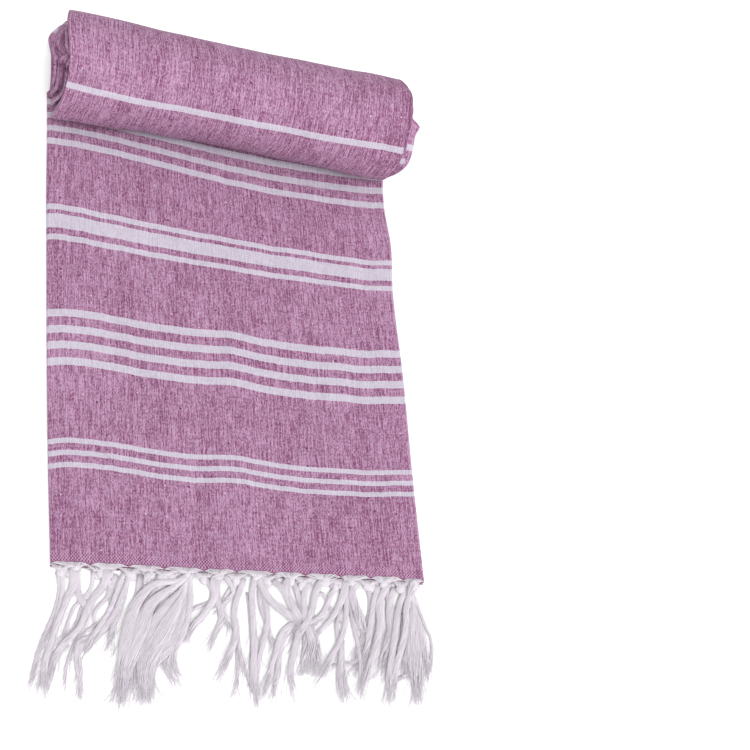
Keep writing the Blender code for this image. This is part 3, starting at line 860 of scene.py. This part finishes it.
def tuftCore(tuft, table, chance):
    # the twisted body of the tuft, an oval tube that thins to nothing before the frayed tips
    total, thinning = table[-1, 0], 0.022
    end = max(total - 1.5 * tuft[5] / 1000, 0.5 * total)
    at = np.linspace(0, end, stationCount(total))[None, :]
    middle, _, wide, thick = tuftSection(tuft, table, at)
    taper = np.sqrt(1 - easeIn(at, end - thinning, end)) * fringe["coreShare"]
    middle[..., 2] = np.maximum(middle[..., 2], thick * taper + clearance)
    return middle, wide * taper, thick * taper, chance.uniform(0, 1, 1), coreSides


def tuftYarns(tuft, table, chance):
    # yarns lie round the oval and turn about it; near the end they part, thin, and end unevenly
    total, twisted = table[-1, 0], 0.72
    radius = fringe["yarnRadius"]
    widest = max(tuft[2:5]) / 2000
    # as many as fit round the oval, and a few more
    halfThick, share, crowding = 0.0011, 0.95, 1.25
    count = max(9, round(math.pi * (widest + halfThick) * share / (2 * radius) * crowding))
    each = (count, 1)
    end = total - 1.6 * tuft[5] / 1000 * chance.uniform(0, 1, each) ** 0.9
    at = end * np.linspace(0, 1, stationCount(total))
    middle, side, wide, thick = tuftSection(tuft, table, at)
    q = at / total
    turns = fringe["turnsPerMetre"] * min(1, fringe["combedWidth"] / widest) ** 2
    heading = 2 * math.pi * (np.arange(count)[:, None] + chance.uniform(-0.3, 0.3, each)) / count
    turned = heading + 2 * math.pi * turns * np.minimum(at, twisted * total)
    spread = easeIn(q, *fringe["parting"])
    # most lie on the oval, and anywhere in it once parted
    depth = 1 - (0.10 + 0.5 * spread) * chance.uniform(0, 1, each) - radius / wide * 0.5
    phase, pace = chance.uniform(0, 2 * math.pi, (2, *each)), chance.uniform(60, 150, (2, *each))
    least, more = fringe["wander"]
    wander = (least + more * spread) * np.minimum(1, q * 6)
    least, more = fringe["splay"]
    sideways = wide * depth * np.cos(turned) + wander * np.sin(pace[0] * at + phase[0])
    sideways += chance.normal(0, 1, each) * spread**1.6 * (least + more * wide)
    up = thick * depth * np.sin(turned) * (1 - 0.45 * spread)
    up += 0.5 * wander * np.sin(pace[1] * at + phase[1])
    radii = radius * (1 - 0.76 * spread) * chance.uniform(0.85, 1.15, each)
    middle[..., :2] += side * sideways[..., None]
    middle[..., 2] = np.maximum(middle[..., 2] + up, radii + clearance)
    return middle, radii, radii, chance.uniform(0, 1, count), yarnSides


def tuftHairs(tuft, table, chance):
    # loose fibres leave the tuft's surface part way along and stray sideways
    total, waver, lowest = table[-1, 0], 0.0005, 0.0003
    widest = max(tuft[2:5]) / 2000
    each = (round(fringe["hairsPerMm"] * widest * 2000), 1)
    start = total * chance.uniform(0.15, 0.75, each)
    furthest = total * chance.uniform(0.94, 1.05, each)
    end = np.minimum(start + chance.uniform(*fringe["hairLengths"], each), furthest)
    share = np.linspace(0, 1, 12)
    at = start + (end - start) * share
    middle, side, wide, thick = tuftSection(tuft, table, at)
    phase, pace = chance.uniform(0, 2 * math.pi, each), chance.uniform(60, 180, each)
    limit = fringe["strayLimit"]
    stray = np.clip(chance.normal(0, 1, each), -limit, limit) * fringe["strayShare"]
    sideways = wide * chance.uniform(-1, 1, each) + stray * (at - start) * share
    sideways = sideways + waver * share * np.sin(pace * at + phase)
    up = thick * chance.uniform(-0.2, 1.1, each)
    middle[..., :2] += side * sideways[..., None]
    middle[..., 2] = np.maximum(middle[..., 2] + up * (1 - 0.6 * share), lowest)
    radii = fringe["hairRadius"] * (1 - 0.5 * share) + np.zeros(each)
    return middle, radii, radii, chance.uniform(0, 1, len(radii)), yarnSides


def bunchHead(left, right, knot, layer, chance):
    # threads leave the edge side by side and meet at the knot: x runs evenly into the neck, and y
    # falls by the drop times q to a power, 1 for the middle threads and more for the outer ones, so
    # that those hug the edge
    within, hump, stray, loft, lowest = 0.0004, 0.0012, 0.00035, 0.0003, 0.0004
    count = round((right - left) / fringe["threadGap"])
    u = np.linspace(-0.98, 0.98, count)[:, None]
    q = np.linspace(0, 1, 9)
    root = (left + right) / 2 + u * (right - left) / 2
    x = root * (1 - q) + (knot + u * fringe["neckWidth"] / 2) * q
    dip = edgeTongue(root, layer)
    fall = dip - within + (fringe["headDrop"] - dip + within) * q ** (1 + 1.2 * np.abs(u))
    y = edgeLine(x, layer) - fall
    edgeHeight = (layer + 0.5) * cloth["pitchOnFlap"] + flapLift(root, np.zeros_like(root), layer)
    neckHeight = fringe["knotHeights"][layer] + hump * np.sqrt(1 - u * u)
    height = edgeHeight + (neckHeight - edgeHeight) * easeIn(q, 0.1, 1)
    # the threads lie loosely, some over others
    loose = np.sin(math.pi * q)
    height = height + chance.normal(0, stray, (count, 1)) * loose + loft * loose
    y = y + chance.normal(0, stray, (count, 1)) * loose
    paths = np.stack(np.broadcast_arrays(x, y, np.maximum(height, lowest)), axis=-1)
    radii = np.full((count, len(q)), fringe["threadRadius"])
    return paths, radii, radii, chance.uniform(0, 1, count), yarnSides


def bunchKnot(knot, layer, chance):
    # an oval bead: half width and half thickness follow the square root of a sine along its length
    overlap, shift, lean = 0.0022, 0.0008, 0.003
    wide, long, thick = np.array(fringe["knot"]) * chance.uniform(*fringe["knotRange"], 3)
    q = np.linspace(0.01, 0.99, 11)[None, :]
    x = knot + chance.uniform(-shift, shift) + chance.uniform(-lean, lean) * (q - 0.3)
    y = edgeLine(knot, layer) - fringe["headDrop"] + overlap - long * q
    height = np.maximum(fringe["knotHeights"][layer] + 0 * q, thick / 2 + clearance)
    middle = np.stack([x, y, height], axis=-1)
    form = np.sqrt(np.sin(math.pi * q)) / 2
    return middle, wide * form, thick * form, chance.uniform(0, 1, 1), coreSides


def cottonYarn():
    # undyed cotton yarn, loosely plied: soft white with a lilac cast where fibres shade each other
    material, tree = newMaterial("Undyed cotton yarn")
    uv = addNode(tree, "UVMap", {"uv_map": "UVMap"})
    # x tells the yarns apart, and along them the tone wavers every 6 mm or so
    scaled = {"vector_type": "POINT", "Scale": yarn["toneScale"], "Vector": uv}
    at = addNode(tree, "Mapping", scaled)
    noise = {"noise_dimensions": "2D", "Scale": 1.0, "Detail": 1.0, "Vector": at}
    tone = addNode(tree, "TexNoise", noise)
    mix = {"data_type": "RGBA", 0: tone, 6: yarn["shade"], 7: yarn["light"]}
    addSurface(tree, {**yarn["surface"], "Base Color": addNode(tree, "Mix", mix, output=2)})
    return material


def fringeRow(layer, material):
    chance = np.random.default_rng(20 + layer)
    parts, knots = bunchParts, bunchKnots
    if layer < 3:
        # the hidden layers' bunches are spaced evenly, give or take a little
        count, stray, knotStray = len(knots), 0.002, 0.004
        even = np.linspace(*fringe["hiddenBunches"], count + 1)
        parts = even + np.append(0, chance.uniform(-stray, stray, count))
        knots = (parts[:-1] + parts[1:]) / 2 + chance.uniform(-knotStray, knotStray, count)
    groups = []
    for left, right, knot in zip(parts[:-1], parts[1:], knots):
        groups += [bunchHead(left, right, knot, layer, chance), bunchKnot(knot, layer, chance)]
    for tuft in (row for row in tufts if row[0] == layer):
        table = tuftTable(tuft)
        groups += [make(tuft, table, chance) for make in (tuftCore, tuftYarns, tuftHairs)]
    return tubeMesh("fringeRow%d" % (layer + 1), groups, material)


yarnMaterial = cottonYarn()
fringeRows = [fringeRow(layer, yarnMaterial) for layer in range(4)]
for row in fringeRows:
    print(row.name, "done,", len(row.data.polygons) * 2, "triangles")

studio = {
    "floor": {"Base Color": "#fafafa", "Roughness": 0.8},
    "tableHalf": 6,
    "skyStrength": 0.66,
    # two far soft boxes: degrees above level, round from the front to the right, and across, and
    # strength
    "lamps": ((52.0, 12.0, 20.0, 2.6), (38.0, 62.0, 24.0, 0.8)),
}


def makeTable():
    # matt white laminate, so that the ground stays plain
    material, tree = newMaterial("Matt white laminate")
    addSurface(tree, studio["floor"])
    mesh = bpy.data.meshes.new("table")
    half = studio["tableHalf"]
    corners = [(-half, -half, 0), (half, -half, 0), (half, half, 0), (-half, half, 0)]
    mesh.from_pydata(corners, [], [(0, 1, 2, 3)])
    mesh.materials.append(material)
    table = addObject("table", mesh)


def makeLight():
    world = bpy.data.worlds.new("Studio")
    bpy.context.scene.world = world
    world.use_nodes = True
    sky = world.node_tree.nodes["Background"]
    sky.inputs["Color"].default_value = (1, 1, 1, 1)
    sky.inputs["Strength"].default_value = studio["skyStrength"]
    for height, turn, spread, strength in studio["lamps"]:
        lampData = bpy.data.lights.new("Softbox", "SUN")
        lampData.angle = math.radians(spread)
        lampData.energy = strength
        lamp = addObject("Softbox", lampData)
        lamp.rotation_euler = (math.radians(90 - height), 0, math.radians(turn))
    bpy.context.scene.view_settings.view_transform = "Standard"


makeTable()
makeLight()
print("table and light: done")

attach(towel, "root")
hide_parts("towel")
for row in fringeRows:
    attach(row, "root")
    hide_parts("fringe")
